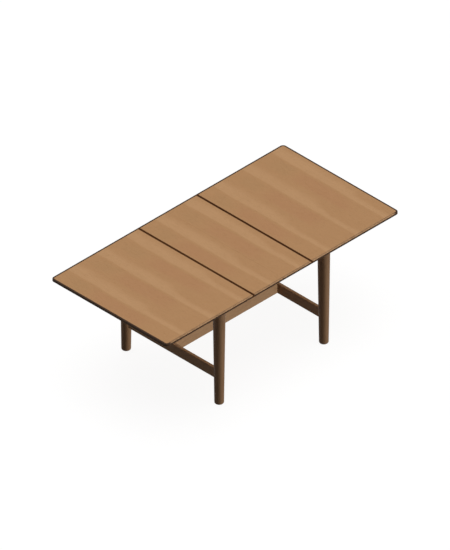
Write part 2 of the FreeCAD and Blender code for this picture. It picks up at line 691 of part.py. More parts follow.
def hinge_plates(name, way, first):
    """Plates of the seam hinges on one side, with every second knuckle from the first one on."""
    plates = []
    pitch = f"hinge_length / {KNUCKLES}"
    flat = (f"{UNDERSIDE} - hinge_plate_thickness", UNDERSIDE)
    notch = "knuckle_diameter / 2 + knuckle_room"
    for y in HINGE_PLACES:
        main_x = beside_seam(way, notch, "hinge_reach")
        solids = [block(f"{name}_flat", main_x, around(y, "hinge_length"), flat)]
        bores = []
        for knuckle in range(first, KNUCKLES, 2):
            low = f"{y} - hinge_length / 2 + {knuckle} * {pitch}"
            span = (f"{low} + knuckle_gap / 2", f"{low} + {pitch} - knuckle_gap / 2")
            solids.append(block(f"{name}_tab", beside_seam(way, "0", f"{notch} + 1"), span, flat))
            solids.append(rod(f"{name}_knuckle", "y", "knuckle_diameter", (SEAM, PIN_Z), span))
        bore = "hinge_pin_diameter + 2 * hinge_clearance"
        length = around(y, "hinge_length + 2")
        bores.append(rod(f"{name}_bore", "y", bore, (SEAM, PIN_Z), length))
        for step in (-1, 0, 1):
            axis = (f"{SEAM} + {way} * hinge_screw_line", f"{y} + {step} * hinge_screw_pitch")
            hole = "hinge_screw_diameter + 2 * screw_clearance"
            long_hole = rod(f"{name}_shank_hole", "z", hole, axis, (f"{flat[0]} - 1", f"{UNDERSIDE} + 1"))
            pocket = "hinge_screw_head + 2 * screw_clearance"
            sink = (f"{flat[0]} - 1", f"{flat[0]} + hinge_screw_head_height")
            wide_hole = rod(f"{name}_head_hole", "z", pocket, axis, sink)
            bores.append(fuse(f"{name}_screw_hole", [long_hole, wide_hole]))
        plates.append(cut(f"{name}_plate", fuse(f"{name}_solid", solids), bores))
    keep(group(name, plates))


def hinge_screws(name, way):
    """Countersunk screws of the seam hinges on one side."""
    low = f"{UNDERSIDE} - hinge_plate_thickness"
    head = (low, f"{low} + hinge_screw_head_height")
    tip = f"{UNDERSIDE} + hinge_screw_bite"
    screws = []
    for x, y in hinge_screw_places(way):
        screws.append(screw("hinge_screw", x, y, head, tip, "hinge_screw_head", "hinge_screw_diameter"))
    keep(group(name, screws))


def hinge_pins():
    """Pins through the knuckles of the seam hinges."""
    pins = []
    for y in HINGE_PLACES:
        pins.append(rod("hinge_pin", "y", "hinge_pin_diameter", (SEAM, PIN_Z), around(y, "hinge_length")))
    keep(group("seam_hinge_pins", pins))


# Swing-out bearers that carry the flat leaf


def bearer(face):
    """Flat bar with round ends, parked along the seam, that swings out under the leaf."""
    name = f"leaf_bearer_{face}"
    way = FACES[face]
    pivot_y = f"{way} * {BEARER_Y}"
    tip_y = f"{way} * ({BEARER_Y} + bearer_reach - bearer_width / 2)"
    height = (BEARER_LOW, BEARER_HIGH)
    length = mirrored(way, BEARER_Y, f"{BEARER_Y} + bearer_reach - bearer_width / 2")
    flat = block(f"{name}_flat", around(BEARER_X, "bearer_width"), length, height)
    near = rod(f"{name}_near_end", "z", "bearer_width", (BEARER_X, pivot_y), height)
    far = rod(f"{name}_far_end", "z", "bearer_width", (BEARER_X, tip_y), height)
    hole = "pivot_diameter + 2 * pivot_clearance"
    past = (f"{BEARER_LOW} - 1", f"{BEARER_HIGH} + 1")
    bore = rod(f"{name}_bore", "z", hole, (BEARER_X, pivot_y), past)
    keep(cut(name, fuse(f"{name}_bar", [flat, near, far]), [bore]))


def bearer_pivots():
    """Shoulder screws that the bearers turn on."""
    screws = []
    high = f"{BEARER_LOW} - pivot_head_gap"
    head = (f"{high} - pivot_head_height", high)
    for way in FACES.values():
        tip = f"{UNDERSIDE} + pivot_bite"
        y = f"{way} * {BEARER_Y}"
        screws.append(screw("bearer_pivot", BEARER_X, y, head, tip, "pivot_head", "pivot_diameter"))
    keep(group("bearer_pivots", screws))


for side_name in SIDES:
    for face_name in FACES:
        leg(side_name, face_name)
        guide_rail(side_name, face_name)
        runner(side_name, face_name)
    end_stretcher(side_name)
    cross_rail(side_name)
    end_top(side_name)
    runner_screws(side_name)
    leaf_half(side_name)
centre_stretcher()
joint_dowels()
glides()
guide_fixings()
hinge_plates("seam_hinge_plates_top", 1, 0)
hinge_plates("seam_hinge_plates_leaf", -1, 1)
hinge_screws("seam_hinge_screws_top", 1)
hinge_screws("seam_hinge_screws_leaf", -1)
hinge_pins()
for face_name in FACES:
    bearer(face_name)
bearer_pivots()
doc.recompute()

for item in doc.Objects:
    if "Invalid" in item.State or "Error" in item.State:
        raise RuntimeError(f"{item.Label} could not be built: {item.State}")
for piece in pieces:
    if piece.Shape.isNull() or not piece.Shape.isValid():
        raise RuntimeError(f"{piece.Label} has no valid shape")
    piece.Shape.exportStep(f"parts/{piece.Label}.step")
print(f"{len(pieces)} sub-parts written")
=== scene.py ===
"""Dresses the butterfly leaf table: eased edges, turned screws, finishes and a plain studio."""
import json
import math

import bmesh
import bpy
from bpy.props import FloatProperty, FloatVectorProperty, IntProperty, PointerProperty
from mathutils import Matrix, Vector


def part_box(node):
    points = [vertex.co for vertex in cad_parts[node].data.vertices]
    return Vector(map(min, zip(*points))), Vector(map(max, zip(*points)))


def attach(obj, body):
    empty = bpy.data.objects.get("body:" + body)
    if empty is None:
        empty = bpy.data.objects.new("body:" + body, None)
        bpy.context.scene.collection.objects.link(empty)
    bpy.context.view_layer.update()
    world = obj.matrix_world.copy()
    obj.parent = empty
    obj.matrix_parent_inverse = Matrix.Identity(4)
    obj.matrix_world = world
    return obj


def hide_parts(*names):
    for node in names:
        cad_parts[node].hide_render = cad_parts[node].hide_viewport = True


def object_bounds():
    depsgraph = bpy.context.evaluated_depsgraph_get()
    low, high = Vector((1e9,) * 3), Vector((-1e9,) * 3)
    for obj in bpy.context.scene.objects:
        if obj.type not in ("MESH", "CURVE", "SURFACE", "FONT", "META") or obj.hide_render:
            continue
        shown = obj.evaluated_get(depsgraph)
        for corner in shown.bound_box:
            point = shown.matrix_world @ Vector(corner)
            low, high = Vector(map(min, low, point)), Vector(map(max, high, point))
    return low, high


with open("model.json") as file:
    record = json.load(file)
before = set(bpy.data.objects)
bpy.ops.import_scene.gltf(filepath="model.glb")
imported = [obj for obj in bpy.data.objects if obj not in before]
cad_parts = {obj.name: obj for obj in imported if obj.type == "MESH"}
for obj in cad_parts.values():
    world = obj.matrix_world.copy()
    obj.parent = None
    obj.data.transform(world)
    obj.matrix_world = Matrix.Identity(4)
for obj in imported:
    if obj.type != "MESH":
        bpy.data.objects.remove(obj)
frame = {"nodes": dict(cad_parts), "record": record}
CAD_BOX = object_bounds()

bl_info = {
    "name": "Butterfly leaf table",
    "version": (1, 0, 0),
    "blender": (4, 5, 0),
    "location": "View3D > Sidebar > Leaf table",
    "description": "Eased edges, turned screws, finishes and a studio for an extending table",
    "category": "Object",
}

SIDES = ("left", "right")
FACES = ("front", "back")
BODY_OF = {node: body for body, nodes in frame["record"]["behaviour"]["bodies"].items() for node in nodes}
SLOT_OF = {part["node"]: part["material_slot"] for part in frame["record"]["subparts"]}


# Sizes and colours that a user would change


def length(name, description, metres):
    """A size in metres."""
    return FloatProperty(
        name=name,
        description=description,
        default=metres,
        min=0.0,
        unit="LENGTH",
        precision=4,
    )


def light_level(name, description, level):
    """A level of light, 1 for full."""
    return FloatProperty(name=name, description=description, default=level, min=0.0)


def colour(name, description, red, green, blue):
    """A linear colour."""
    return FloatVectorProperty(
        name=name,
        description=description,
        default=(red, green, blue),
        subtype="COLOR",
        size=3,
        min=0.0,
        max=1.0,
    )


class LeafTableEdges(bpy.types.PropertyGroup):
    """How far the edges of each kind of piece are rounded over."""

    rim: length("Rim", "Rounding of the upper outer edge of the table", 0.003)
    corner: length("Corner", "Radius of the table's four corners in plan", 0.025)
    # Reach of the painted highlight over the front rim, drawn as wood rubbed bare
    worn: length("Worn front", "How far in the front edge is rubbed bare", 0.0115)
    strip: length("Edge strips", "Rounding of the other edges of the strips round the boards", 0.001)
    stretcher: length("Stretchers", "Rounding along the low stretchers", 0.002)
    rail: length("Upper rails", "Rounding along the upper cross rails", 0.002)
    guide: length("Guides", "Rounding of the guide rails", 0.001)
    runner: length("Runners", "Rounding of the dovetail runners", 0.0005)
    leg: length("Legs", "Rounding at the top of a leg", 0.002)
    glide: length("Glides", "Rounding of the nylon discs", 0.0007)
    dowel: length("Dowels", "Chamfer at the ends of dowels and pins", 0.0009)
    plate: length("Hinge plates", "Rounding of the hinge plates", 0.00025)
    bearer: length("Bearers", "Rounding of the leaf bearers", 0.001)
    steps: IntProperty(name="Steps", description="Faces across a rounded edge", default=3, min=1, max=8)
    turning: IntProperty(
        name="Turning",
        description="Faces round a screw head, a multiple of 24",
        default=48,
        min=24,
        max=96,
        step=24,
    )


class LeafTableFinishes(bpy.types.PropertyGroup):
    """Linear colours of the finishes and the pitch of the bands in the boards."""

    band_pitch: length("Band pitch", "Distance between the pale bands of the boards", 0.25)
    band_start: length("Band start", "Where a pale band starts, right of the table's middle", 0.1275)
    top_field: colour("Top", "Field of the tops and the leaf", 0.394, 0.217, 0.100)
    top_pale: colour("Top, pale", "Pale bands of the tops and the leaf", 0.442, 0.254, 0.124)
    top_warm: colour("Top, warm", "Reddish part of the fields", 0.386, 0.202, 0.095)
    top_cool: colour("Top, cool", "Greyer part of the fields", 0.376, 0.212, 0.097)
    leg_light: colour("Leg, light", "Pale grain of the legs", 0.200, 0.115, 0.060)
    leg_dark: colour("Leg, dark", "Dark grain of the legs", 0.161, 0.089, 0.044)
    stretcher_light: colour("Stretcher, light", "Pale grain of the stretchers", 0.312, 0.188, 0.101)
    stretcher_dark: colour("Stretcher, dark", "Dark grain of the stretchers", 0.268, 0.155, 0.081)
    frame_light: colour("Upper frame, light", "Pale grain of rails, guides and runners", 0.480, 0.310, 0.165)
    frame_dark: colour("Upper frame, dark", "Dark grain of rails, guides and runners", 0.390, 0.235, 0.118)
    dowel_light: colour("Dowel, light", "Pale grain of the dowels", 0.560, 0.390, 0.225)
    dowel_dark: colour("Dowel, dark", "Dark grain of the dowels", 0.470, 0.300, 0.160)
    rim_light: colour("Rim, light", "Pale grain of the strips round the table", 0.055, 0.030, 0.017)
    rim_dark: colour("Rim, dark", "Dark grain of the strips round the table", 0.034, 0.018, 0.010)
    # Colour of the painted highlight along the front rim, drawn as bare wood
    rim_highlight: colour("Rim, worn", "Bare wood along the worn front edge", 0.370, 0.215, 0.112)
    seam_light: colour("Seam, light", "Pale grain of the strips along the seams", 0.072, 0.027, 0.007)
    seam_dark: colour("Seam, dark", "Dark grain of the strips along the seams", 0.048, 0.017, 0.004)
    nylon: colour("Nylon", "Glides under the feet and on the legs", 0.024, 0.022, 0.021)
    zinc: colour("Zinc", "Plated screws and pins", 0.560, 0.560, 0.545)
    powder: colour("Powder coat", "Coated bearers", 0.016, 0.016, 0.017)
    brass: colour("Brass", "Hinges and their screws", 0.610, 0.410, 0.130)
    floor: colour("Floor", "Studio floor", 0.140, 0.140, 0.140)


class LeafTableStudio(bpy.types.PropertyGroup):
    """Camera and lamps."""

    view_height: length("View height", "Height of what the camera sees", 3.3450)
    view_drop: length("View drop", "Middle of the picture below the middle of the top", 0.18457)
    front: light_level("Front lamp", "Level of the low front lamp", 0.95)
    above: light_level("Top lamp", "Level of the overhead lamp", 0.64)
    bounce: light_level("Bounce", "Level of the light back from the floor", 0.6)
    sky: light_level("Sky", "Level of the even light all round", 0.05)
    white: light_level("Floor white", "How pale the floor looks", 0.88)


# Materials


WHITE = (1.0, 1.0, 1.0, 1.0)

# Sockets of a Mix node that carry its share, its two colours and its result
MIX_SHARE = 0
MIX_FIRST = 6
MIX_SECOND = 7
MIX_RESULT = 2


class Signal:
    """An output that Python's operators work on: each operation adds a Math node."""

    def __init__(self, finish, socket):
        self.finish = finish
        self.socket = socket

    def __add__(self, other):
        return self.finish.maths("ADD", self, other)

    def __radd__(self, other):
        return self.finish.maths("ADD", other, self)

    def __sub__(self, other):
        return self.finish.maths("SUBTRACT", self, other)

    def __rsub__(self, other):
        return self.finish.maths("SUBTRACT", other, self)

    def __mul__(self, other):
        return self.finish.maths("MULTIPLY", self, other)

    def __rmul__(self, other):
        return self.finish.maths("MULTIPLY", other, self)


class NodeTree:
    """Adds nodes to a node tree and links them."""

    def __init__(self, tree):
        self.tree = tree
        self.tree.nodes.clear()

    def node(self, kind, settings, sockets, output=0):
        """Add a node: its settings first, then values or links for its sockets."""
        made = self.tree.nodes.new(kind)
        for name, value in settings.items():
            setattr(made, name, value)
        for key, value in sockets.items():
            self.feed(made.inputs[key], value)
        return Signal(self, made.outputs[output])

    def feed(self, socket, value):
        """Give a socket a link or a plain value."""
        if isinstance(value, Signal):
            self.tree.links.new(value.socket, socket)
        else:
            socket.default_value = value

    def maths(self, operation, first, second=0.0):
        """One Math node."""
        return self.node("ShaderNodeMath", {"operation": operation}, {0: first, 1: second})

    def stretch(self, vector, scale):
        """Scale a vector by three numbers."""
        return self.node("ShaderNodeVectorMath", {"operation": "MULTIPLY"}, {0: vector, 1: scale})

    def noise(self, vector, scale, detail):
        """Noise from 0 to 1, stretched by three frequencies per metre."""
        sockets = {"Vector": self.stretch(vector, scale), "Scale": 1.0, "Detail": detail, "Roughness": 0.5}
        return self.node("ShaderNodeTexNoise", {"noise_dimensions": "3D"}, sockets)

    def waver(self, vector, scale, detail):
        """Noise from -0.5 to 0.5."""
        return self.noise(vector, scale, detail) - 0.5

    def step(self, value, low, high):
        """Soft step from 0 at low to 1 at high."""
        sockets = {"Value": value, "From Min": low, "From Max": high}
        return self.node("ShaderNodeMapRange", {"interpolation_type": "SMOOTHSTEP"}, sockets)

    def between(self, value, rise, fall):
        """1 between a soft rise and a soft fall, 0 outside them."""
        return self.step(value, *rise) * (1.0 - self.step(value, *fall))

    def blend(self, share, first, second, how="MIX"):
        """Mix two colours."""
        settings = {"data_type": "RGBA", "blend_type": how}
        sockets = {MIX_SHARE: share, MIX_FIRST: opaque(first), MIX_SECOND: opaque(second)}
        return self.node("ShaderNodeMix", settings, sockets, MIX_RESULT)

    def bump(self, height, distance, strength):
        """Surface relief from a height."""
        sockets = {"Height": height, "Distance": distance, "Strength": strength}
        return self.node("ShaderNodeBump", {}, sockets)

    def place(self, turn=(0.0, 0.0, 0.0), shift=(0.0, 0.0, 0.0)):
        """Object coordinates, turned and moved."""
        where = self.node("ShaderNodeTexCoord", {}, {}, "Object")
        sockets = {"Vector": where, "Rotation": turn, "Location": shift}
        return self.node("ShaderNodeMapping", {"vector_type": "POINT"}, sockets)

    def part(self, vector, axis):
        """One coordinate of a vector."""
        return self.node("ShaderNodeSeparateXYZ", {}, {0: vector}, axis)


class Finish(NodeTree):
    """A material: its surface shader and the nodes that feed it."""

    def __init__(self, name, constants):
        self.material = bpy.data.materials.new(name)
        self.material.use_nodes = True
        super().__init__(self.material.node_tree)
        self.shader = self.tree.nodes.new("ShaderNodeBsdfPrincipled")
        self.end = self.tree.nodes.new("ShaderNodeOutputMaterial")
        self.tree.links.new(self.shader.outputs["BSDF"], self.end.inputs["Surface"])
        for socket, value in constants.items():
            self.shader.inputs[socket].default_value = value

    def surface(self, **sockets):
        """Link what varies over the surface to the shader."""
        for name, value in sockets.items():
            self.feed(self.shader.inputs[name.replace("_", " ")], value)
        return self.material


def opaque(value):
    """A colour with its alpha, or a link as it is."""
    if isinstance(value, Signal):
        return value
    return (value[0], value[1], value[2], 1.0)


ALONG_X = (0.0, 0.0, math.pi / 2)
ALONG_Y = (0.0, 0.0, 0.0)
ALONG_Z = (math.pi / 2, 0.0, 0.0)

# Frequencies of the grain per metre: across the fibres, along them and through the wood
RIPPLE_GRAIN = (24.0, 3.0, 24.0)
FIBRE_GRAIN = (900.0, 14.0, 900.0)
PORE_GRAIN = (1500.0, 42.0, 1500.0)
MOTTLE_GRAIN = (46.0, 12.0, 46.0)
STAIN_GRAIN = (260.0, 9.0, 260.0)
GROWTH_ACROSS = 190.0
GROWTH_THROUGH = 60.0

# Tints that the parts of the grain multiply a wood's tone by
GROWTH_TINT = (0.66, 0.56, 0.48)
FIBRE_TINT = (1.16, 1.13, 1.08)
MOTTLE_TINT = (0.86, 0.86, 0.84)
PORE_TINT = (0.42, 0.34, 0.28)

# Gloss, roughness, depth of the relief in metres, and share of the pores that stay open under the finish
OILED_GLOSS = 0.14
RIM_GLOSS = 0.08
SEAM_GLOSS = 0.05
OILED_ROUGH = 0.56
STAINED_ROUGH = 0.58
RELIEF_DEPTH = 0.00012
OILED_PORES = 0.8
STAINED_PORES = 0.3

# Where the tones of a board rise and fall, in shares of the pitch of its bands; the pale band falls by
# shares of its own width
PALE_RISE = (0.0, 0.06)
PALE_FALL = (0.55, 1.25)
FIELD_RISE = (0.48, 0.64)
FIELD_FALL = (0.92, 1.0)

# Where they rise and fall from front to back, in metres from the table's middle
WIDENING = (-0.24, -0.06)
WARM_RISE = (-0.30, -0.16)
WARM_FALL = (0.14, 0.26)
COOL_RISE = (0.22, 0.31)
COOL_FALL = (0.36, 0.47)

# Width of the soft line between the stain and the painted highlight along the front rim, in metres
HIGHLIGHT_FADE = 0.002

# Frequencies of the patches in the painted highlight along the front rim, per metre along the three axes
HIGHLIGHT_PATCH_GRAIN = (30.0, 30.0, 120.0)

# Colours of wear on the fittings
NYLON_SCUFF = (0.075, 0.072, 0.068)
ZINC_CLOUD = (0.46, 0.45, 0.40)
ZINC_SPECK = (0.30, 0.29, 0.27)
BRASS_TARNISH = (0.33, 0.19, 0.06)
BRASS_BRUSH = (0.80, 0.78, 0.74)
POWDER_RUB = (0.055, 0.054, 0.052)


def grain_over(finish, grain, across, tone, pores, rough):
    """Growth lines, fibres, pores and a soft mottle over a wood's broad tones; the fibres run along Y."""
    ripple = finish.waver(grain, RIPPLE_GRAIN, 3.0)
    through = finish.part(grain, "Z")
    line = finish.maths("FRACT", across * GROWTH_ACROSS + through * GROWTH_THROUGH + ripple * 3.0)
    growth = finish.step(line, 0.35, 0.98)
    fibre = finish.noise(grain, FIBRE_GRAIN, 2.0)
    pore = finish.step(finish.noise(grain, PORE_GRAIN, 1.0), 0.60, 0.72) * pores
    mottle = finish.noise(grain, MOTTLE_GRAIN, 2.0)
    tone = finish.blend(growth * 0.20, tone, GROWTH_TINT, "MULTIPLY")
    tone = finish.blend(finish.step(fibre, 0.35, 0.75) * 0.16, tone, FIBRE_TINT, "MULTIPLY")
    tone = finish.blend(finish.step(mottle, 0.3, 0.7) * 0.10, tone, MOTTLE_TINT, "MULTIPLY")
    tone = finish.blend(pore * 0.55, tone, PORE_TINT, "MULTIPLY")
    relief = finish.bump(fibre * 0.3 - pore - growth * 0.2, RELIEF_DEPTH, 0.6)
    gloss = rough + pore * 0.14 + (mottle - 0.5) * 0.10 - growth * 0.03
    return finish.surface(Base_Color=tone, Roughness=gloss, Normal=relief)


def wood(name, light, dark, turn, shift, band, drift):
    """Oiled solid wood: light and dark bands that wander along the fibres."""
    finish = Finish(name, {"Specular IOR Level": OILED_GLOSS})
    grain = finish.place(turn, shift)
    wander = finish.waver(grain, (0.42 / band, 0.13 / band, 0.42 / band), 2.0)
    across = finish.part(grain, "X") + wander * drift
    ragged = finish.waver(grain, (2.1 / band, 0.24 / band, 2.1 / band), 3.0)
    swing = finish.maths("SINE", across * (2 * math.pi / band)) + ragged * 2.2
    tone = finish.blend(finish.step(swing, -0.75, 1.05), light, dark)
    return grain_over(finish, grain, across, tone, OILED_PORES, OILED_ROUGH)


def board_wood(paint):
    """Flat-sawn veneer: pale bands, crisp on the left, soft on the right and narrower at the front."""
    finish = Finish("board_wood", {"Specular IOR Level": OILED_GLOSS})
    grain = finish.place()
    wander = finish.waver(grain, (3.0, 2.4, 0.0), 2.0)
    ragged = finish.waver(grain, (11.0, 5.0, 0.0), 3.0)
    across = finish.part(grain, "X") + wander * 0.03
    along = finish.part(grain, "Y") + ragged * 0.16
    share = finish.maths("FRACT", (across - paint.band_start) * (1.0 / paint.band_pitch))
    wide = finish.step(along, *WIDENING) * 0.18 + 0.20 + ragged * 0.16
    pale = finish.between(share, PALE_RISE, (wide * PALE_FALL[0], wide * PALE_FALL[1]))
    field = finish.between(share, FIELD_RISE, FIELD_FALL)
    warm = field * finish.between(along, WARM_RISE, WARM_FALL)
    cool = field * finish.between(along, COOL_RISE, COOL_FALL)
    tone = finish.blend(pale * (0.95 + ragged * 0.5), paint.top_field, paint.top_pale)
    tone = finish.blend(warm * (0.85 + ragged * 0.9), tone, paint.top_warm)
    tone = finish.blend(cool * (0.7 + ragged * 0.8), tone, paint.top_cool)
    return grain_over(finish, grain, across, tone, OILED_PORES, OILED_ROUGH)


def stain(finish, grain, light, dark):
    """Dark stain that takes unevenly along the fibres."""
    shade = finish.step(finish.noise(grain, STAIN_GRAIN, 3.0), 0.35, 0.65)
    return finish.blend(shade, light, dark)


def rim_wood(name, turn, paint, sizes):
    """Stained strip round the table, with a painted highlight over its upper edge along the front, coloured
    like wood rubbed bare.
    """
    finish = Finish(name, {"Specular IOR Level": RIM_GLOSS})
    where = finish.place()
    reach = CAD_BOX[1]
    far_x = finish.maths("ABSOLUTE", finish.part(where, "X")) - (reach.x - sizes.corner)
    far_y = finish.maths("ABSOLUTE", finish.part(where, "Y")) - (reach.y - sizes.corner)
    past_x = finish.maths("MAXIMUM", far_x, 0.0)
    past_y = finish.maths("MAXIMUM", far_y, 0.0)
    out = finish.maths("SQRT", past_x * past_x + past_y * past_y) - (sizes.corner - sizes.rim)
    high = finish.part(where, "Z") - (reach.z - sizes.rim)
    # Painted highlight: the front rim is made paler, like wood rubbed bare, where the front lamp lights it;
    # the ends and the back stay dark
    front = finish.step(0.0 - finish.part(where, "Y"), reach.y - sizes.corner, reach.y - sizes.corner / 2)
    lit_front_rim = front * (1.0 - finish.step(far_x, -sizes.corner, 0.0))
    inner = sizes.rim - sizes.worn
    highlight_band = finish.step(out, inner, inner + HIGHLIGHT_FADE)
    wear_and_highlight = lit_front_rim * highlight_band * finish.step(high, -sizes.rim / 2, sizes.rim / 3)
    highlight_patches = finish.step(finish.noise(where, HIGHLIGHT_PATCH_GRAIN, 3.0), 0.30, 0.62)
    grain = finish.place(turn)
    tone = stain(finish, grain, paint.rim_light, paint.rim_dark)
    # Lays the painted highlight, in patches, over the stain along the front rim
    tone = finish.blend(wear_and_highlight * (0.6 + highlight_patches * 0.32), tone, paint.rim_highlight)
    return grain_over(finish, grain, finish.part(grain, "X"), tone, STAINED_PORES, STAINED_ROUGH)


def seam_wood(paint):
    """Nearly black stained strip along a seam."""
    finish = Finish("seam_strip", {"Specular IOR Level": SEAM_GLOSS})
    grain = finish.place()
    tone = stain(finish, grain, paint.seam_light, paint.seam_dark)
    return grain_over(finish, grain, finish.part(grain, "X"), tone, STAINED_PORES, STAINED_ROUGH)


def nylon_finish(paint):
    """Moulded nylon with a fine spark texture and a few scuffs."""
    finish = Finish("moulded_nylon", {"Specular IOR Level": 0.4})
    grain = finish.place()
    spark = finish.noise(grain, (2600.0, 2600.0, 2600.0), 2.0)
    scuff = finish.step(finish.noise(grain, (90.0, 700.0, 300.0), 3.0), 0.58, 0.72)
    tone = finish.blend(scuff * 0.5, paint, NYLON_SCUFF)
    relief = finish.bump(spark, 0.00006, 0.5)
    return finish.surface(Base_Color=tone, Roughness=0.46 + spark * 0.12 + scuff * 0.12, Normal=relief)


def zinc_finish(paint):
    """Plated steel with a cloudy bright film."""
    finish = Finish("plated_steel", {"Metallic": 1.0})
    grain = finish.place()
    cloud = finish.noise(grain, (320.0, 320.0, 320.0), 3.0)
    speck = finish.step(finish.noise(grain, (2400.0, 2400.0, 2400.0), 1.0), 0.62, 0.72)
    tone = finish.blend(finish.step(cloud, 0.4, 0.7) * 0.6, paint, ZINC_CLOUD)
    tone = finish.blend(speck * 0.4, tone, ZINC_SPECK)
    relief = finish.bump(cloud, 0.00004, 0.4)
    return finish.surface(Base_Color=tone, Roughness=0.27 + cloud * 0.16 + speck * 0.15, Normal=relief)


def brass_finish(paint):
    """Brass brushed along the hinge, browner where it has tarnished."""
    finish = Finish("brushed_brass", {"Metallic": 1.0})
    grain = finish.place()
    brush = finish.noise(grain, (3600.0, 60.0, 3600.0), 2.0)
    tarnish = finish.step(finish.noise(grain, (70.0, 50.0, 140.0), 4.0), 0.48, 0.72)
    tone = finish.blend(tarnish * 0.55, paint, BRASS_TARNISH)
    tone = finish.blend(finish.step(brush, 0.35, 0.75) * 0.25, tone, BRASS_BRUSH, "MULTIPLY")
    relief = finish.bump(brush, 0.00003, 0.5)
    return finish.surface(Base_Color=tone, Roughness=0.25 + brush * 0.14 + tarnish * 0.16, Normal=relief)


def powder_finish(paint):
    """Black powder coat with a fine orange-peel skin."""
    finish = Finish("powder_coat", {"Specular IOR Level": 0.45})
    grain = finish.place()
    peel = finish.noise(grain, (1100.0, 1100.0, 1100.0), 2.0)
    wear_and_highlight = finish.step(finish.noise(grain, (40.0, 160.0, 40.0), 4.0), 0.60, 0.74)
    tone = finish.blend(wear_and_highlight * 0.35, paint, POWDER_RUB)
    relief = finish.bump(peel, 0.00008, 0.5)
    return finish.surface(Base_Color=tone, Roughness=0.42 + peel * 0.14 + wear_and_highlight * 0.10, Normal=relief)


made_finishes = {}


def finish_for(node):
    """The material of a node, made on first use."""
    slot = SLOT_OF[node]
    key = slot
    if slot == "lipping_wood":
        key = "rim_along"
        if "_seam_" in node:
            key = "seam_strip"
        elif "_end_" in node:
            key = "rim_across"
    elif slot == "stretcher_wood":
        key = "stretcher_along" if node == "centre_stretcher" else "stretcher_across"
    elif slot == "frame_wood":
        key = "rail_wood" if node.startswith("cross_rail") else "guide_wood"
    if key not in made_finishes:
        made_finishes[key] = make_finish(key)
    return made_finishes[key]


def make_finish(key):
    """Make one material by its name."""
    paint = bpy.context.scene.leaf_table_finishes
    sizes = bpy.context.scene.leaf_table_edges
    low = (paint.stretcher_light, paint.stretcher_dark)
    upper = (paint.frame_light, paint.frame_dark)
    # Two tones, run of the fibres, shift of the pattern, width of a band and how far it wanders, in metres
    solid = {
        "leg_wood": (paint.leg_light, paint.leg_dark, ALONG_Z, (0.0, 0.0, 0.0), 0.05, 0.03),
        "stretcher_along": (*low, ALONG_X, (0.4, 0.0, 0.3), 0.06, 0.04),
        "stretcher_across": (*low, ALONG_Y, (0.0, 0.5, 0.0), 0.06, 0.04),
        "rail_wood": (*upper, ALONG_Y, (0.0, 0.9, 0.0), 0.06, 0.04),
        "guide_wood": (*upper, ALONG_X, (0.2, 0.0, 0.1), 0.05, 0.03),
        "dowel_wood": (paint.dowel_light, paint.dowel_dark, ALONG_Y, (0.0, 0.0, 0.0), 0.012, 0.006),
    }
    if key in solid:
        return wood(key, *solid[key])
    others = {
        "top_wood": lambda: board_wood(paint),
        "rim_along": lambda: rim_wood("rim_along", ALONG_X, paint, sizes),
        "rim_across": lambda: rim_wood("rim_across", ALONG_Y, paint, sizes),
        "seam_strip": lambda: seam_wood(paint),
        "nylon": lambda: nylon_finish(paint.nylon),
        "zinc_steel": lambda: zinc_finish(paint.zinc),
        "brass": lambda: brass_finish(paint.brass),
        "bearer_steel": lambda: powder_finish(paint.powder),
    }
    return others[key]()


# Shapes


# Distances in metres within which points are one, are level, or lie on one line
SAME_POINT = 1e-6
SAME_LEVEL = 1e-5
SAME_LINE = 1e-4

# Angle within which two directions are one, in radians
SAME_ANGLE = 1e-4

# Angles below which sides are one flat side, above which an edge is rounded, and above which it shades sharp
FLAT_ANGLE = math.radians(0.3)
ARRIS_ANGLE = math.radians(30.0)
SHADING_ANGLE = math.radians(35.0)

# Shortest edges that are rounded, in metres, so that the edges of small cuts stay as they are
LONG_EDGES = 0.2
RAIL_EDGES = 0.012
GLIDE_EDGES = 0.0015
BEARER_EDGES = 0.001
ALL_EDGES = 0.0

# Faces across the rounded edge of a thin hinge plate
PLATE_STEPS = 2


def joined_copy(node):
    """A node's own mesh with its loose triangles joined."""
    shape = bmesh.new()
    shape.from_mesh(frame["nodes"][node].data)
    bmesh.ops.remove_doubles(shape, verts=shape.verts, dist=SAME_POINT)
    return shape


def merged_copy(node):
    """A node's own mesh with its triangles joined and its flat sides made whole."""
    shape = joined_copy(node)
    bmesh.ops.dissolve_limit(shape, angle_limit=FLAT_ANGLE, verts=shape.verts, edges=shape.edges)
    shape.normal_update()
    return shape


def arrises(shape, shortest=ALL_EDGES):
    """Outer edges where two sides meet sharply, leaving out those shorter than a given length."""
    found = []
    for edge in shape.edges:
        if len(edge.link_faces) != 2 or edge.calc_length() < shortest:
            continue
        if edge.calc_face_angle_signed() > ARRIS_ANGLE:
            found.append(edge)
    return found


def ease(shape, edges, width, steps):
    """Round edges over."""
    if not edges:
        raise RuntimeError("No edge to round was found")
    bmesh.ops.bevel(
        shape,
        geom=edges,
        offset=width,
        offset_type="OFFSET",
        affect="EDGES",
        segments=steps,
        profile=0.5,
        material=-1,
        clamp_overlap=True,
    )


def dress(shape, node, name):
    """Turn a finished shape into a piece that stands for a node and moves with its body."""
    mesh = bpy.data.meshes.new(name)
    bmesh.ops.recalc_face_normals(shape, faces=shape.faces)
    shape.to_mesh(mesh)
    shape.free()
    if "custom_normal" in mesh.attributes:
        mesh.attributes.remove(mesh.attributes["custom_normal"])
    mesh.shade_smooth()
    mesh.set_sharp_from_angle(angle=SHADING_ANGLE)
    mesh.materials.clear()
    mesh.materials.append(finish_for(node))
    piece = bpy.data.objects.new(name, mesh)
    bpy.context.scene.collection.objects.link(piece)
    even = piece.modifiers.new("even_shading", "WEIGHTED_NORMAL")
    even.keep_sharp = True
    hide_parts(node)
    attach(piece, BODY_OF[node])


